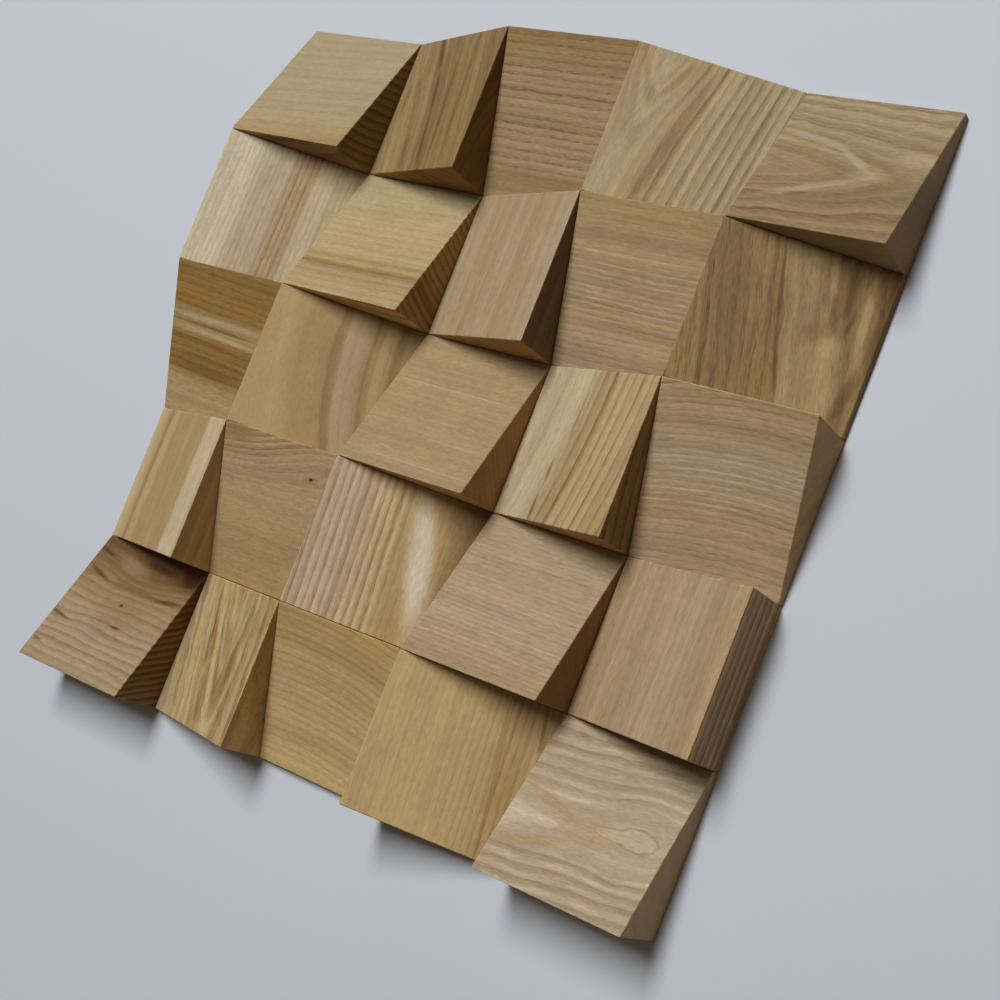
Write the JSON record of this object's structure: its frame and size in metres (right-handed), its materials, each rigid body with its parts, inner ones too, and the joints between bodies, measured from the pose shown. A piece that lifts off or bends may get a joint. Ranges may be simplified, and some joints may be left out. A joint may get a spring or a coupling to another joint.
{
  "type": "wood mosaic panel",
  "caption": "Square wood mosaic panel of butted ash blocks with sloping tops, each turned a quarter from its neighbour so that the slopes run in diagonals.",
  "frame": {"origin": "middle of the panel's back, on the surface that it lies on", "axes": "+X to the right along the rows, +Y up the panel, +Z out of the face"},
  "size_m": [0.3004, 0.3004, 0.0278],
  "materials": {
    "ash": "satin oil over fine-sanded ash"
  },
  "bodies": {
    "root": {"block_row1_column1": "ash", "block_row1_column2": "ash", "block_row1_column3": "ash", "block_row1_column4": "ash", "block_row1_column5": "ash", "block_row2_column1": "ash", "block_row2_column2": "ash", "block_row2_column3": "ash", "block_row2_column4": "ash", "block_row2_column5": "ash", "block_row3_column1": "ash", "block_row3_column2": "ash", "block_row3_column3": "ash", "block_row3_column4": "ash", "block_row3_column5": "ash", "block_row4_column1": "ash", "block_row4_column2": "ash", "block_row4_column3": "ash", "block_row4_column4": "ash", "block_row4_column5": "ash", "block_row5_column1": "ash", "block_row5_column2": "ash", "block_row5_column3": "ash", "block_row5_column4": "ash", "block_row5_column5": "ash"}
  },
  "joints": []
}
